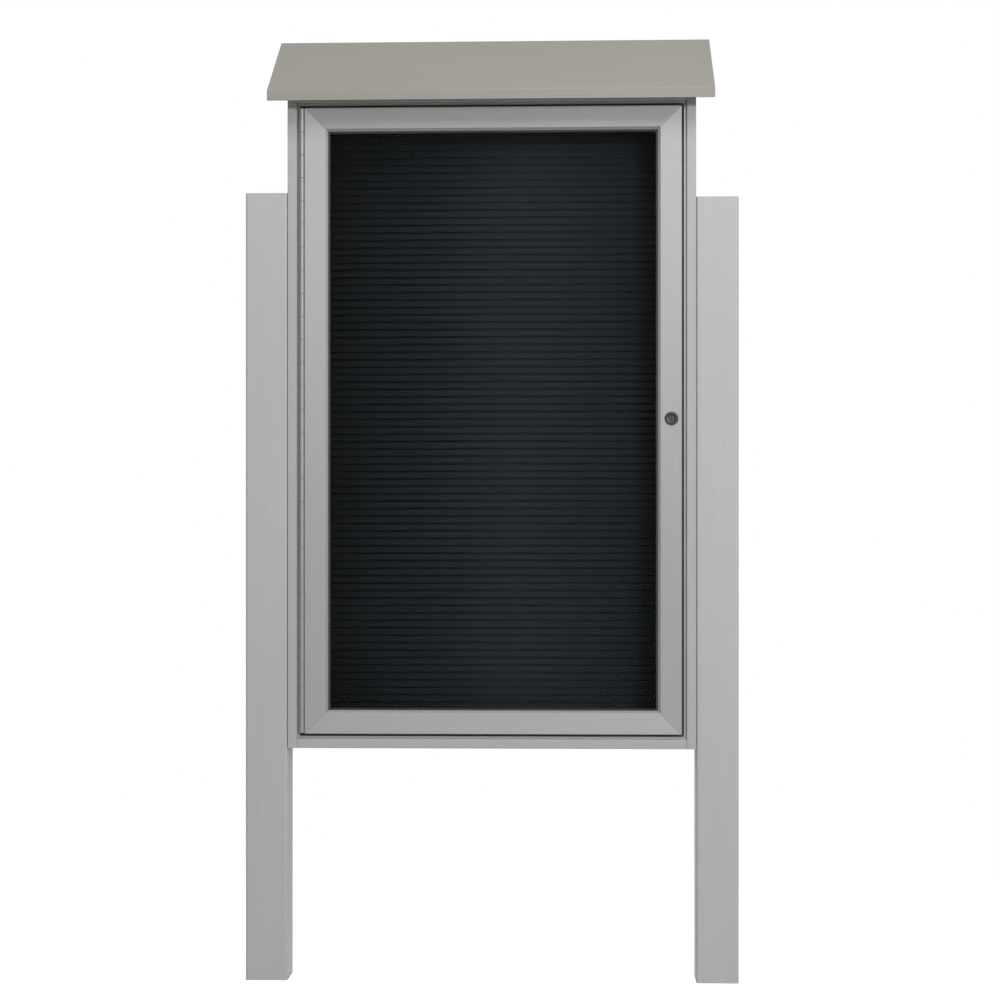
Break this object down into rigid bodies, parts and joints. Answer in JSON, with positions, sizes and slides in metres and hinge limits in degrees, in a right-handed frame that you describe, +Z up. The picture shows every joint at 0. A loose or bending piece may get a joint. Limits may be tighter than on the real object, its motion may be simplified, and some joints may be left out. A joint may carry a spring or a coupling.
{
  "type": "lockable notice board",
  "caption": "Lockable outdoor notice board: a shallow plank cabinet under a sloped roof, with a glazed aluminium door over a grooved letter board, carried by two square posts.",
  "frame": {"origin": "on the ground, at the middle of the overall box", "axes": "+Z up, +Y towards the back of the cabinet, +X to the right as seen by a reader facing the door"},
  "size_m": [1.0412, 0.224, 2.0246],
  "materials": {
    "post_plastic": "moulded recycled plastic lumber, light neutral grey, satin skin",
    "plank_plastic": "moulded recycled plastic lumber, mid grey, satin skin",
    "roof_plastic": "moulded recycled plastic lumber, warm grey, satin skin",
    "aluminium": "satin anodised, drawn lengthwise",
    "steel": "stainless, plain",
    "lock_metal": "dark nickel plate",
    "board_plastic": "black grooved sheet, matt",
    "rubber": "black extruded seal",
    "clear_sheet": "clear acrylic sheet"
  },
  "bodies": {
    "cabinet": {"left_post": "post_plastic", "right_post": "post_plastic", "left_side_plank": "plank_plastic", "right_side_plank": "plank_plastic", "top_plank": "plank_plastic", "bottom_plank": "plank_plastic", "front_roof_cleat": "plank_plastic", "rear_roof_cleat": "plank_plastic", "roof_plank": "roof_plastic", "back_panel": "plank_plastic", "letter_board": "board_plastic", "case_frame_left": "aluminium", "case_frame_top": "aluminium", "case_frame_right": "aluminium", "case_frame_bottom": "aluminium", "weather_seal": "rubber", "hinge_case_leaf": "steel", "hinge_pin": "steel", "left_post_screw_1": "steel", "left_post_screw_2": "steel", "left_post_screw_3": "steel", "right_post_screw_1": "steel", "right_post_screw_2": "steel", "right_post_screw_3": "steel", "left_corner_screw_1": "steel", "left_corner_screw_2": "steel", "left_corner_screw_3": "steel", "right_corner_screw_1": "steel", "right_corner_screw_2": "steel", "right_corner_screw_3": "steel", "front_roof_screw_1": "steel", "front_roof_screw_2": "steel", "rear_roof_screw_1": "steel", "rear_roof_screw_2": "steel", "back_panel_screw_1": "steel", "back_panel_screw_2": "steel", "back_panel_screw_3": "steel", "back_panel_screw_4": "steel", "back_panel_screw_5": "steel", "back_panel_screw_6": "steel", "letter_board_screw_1": "steel", "letter_board_screw_2": "steel", "letter_board_screw_3": "steel", "letter_board_screw_4": "steel"},
    "door": {"left_stile": "aluminium", "right_stile": "aluminium", "top_rail": "aluminium", "bottom_rail": "aluminium", "corner_key_lower_left": "aluminium", "corner_key_upper_left": "aluminium", "corner_key_upper_right": "aluminium", "corner_key_lower_right": "aluminium", "glazing": "clear_sheet", "glazing_gasket": "rubber", "hinge_door_leaf": "steel", "lock_body": "lock_metal", "lock_nut": "steel"},
    "lock_barrel": {"lock_plug": "lock_metal", "lock_cam": "steel", "lock_cam_nut": "steel"}
  },
  "joints": [
    {"name": "door_swing", "type": "hinge", "parent": "cabinet", "child": "door", "pos_m": [-0.4005, -0.065, 0.5243], "axis": [0, 0, -1], "range_deg": [0, 170]},
    {"name": "lock_turn", "type": "hinge", "parent": "door", "child": "lock_barrel", "pos_m": [0.3795, -0.064, 1.1873], "axis": [0, -1, 0], "range_deg": [0, 90]}
  ]
}
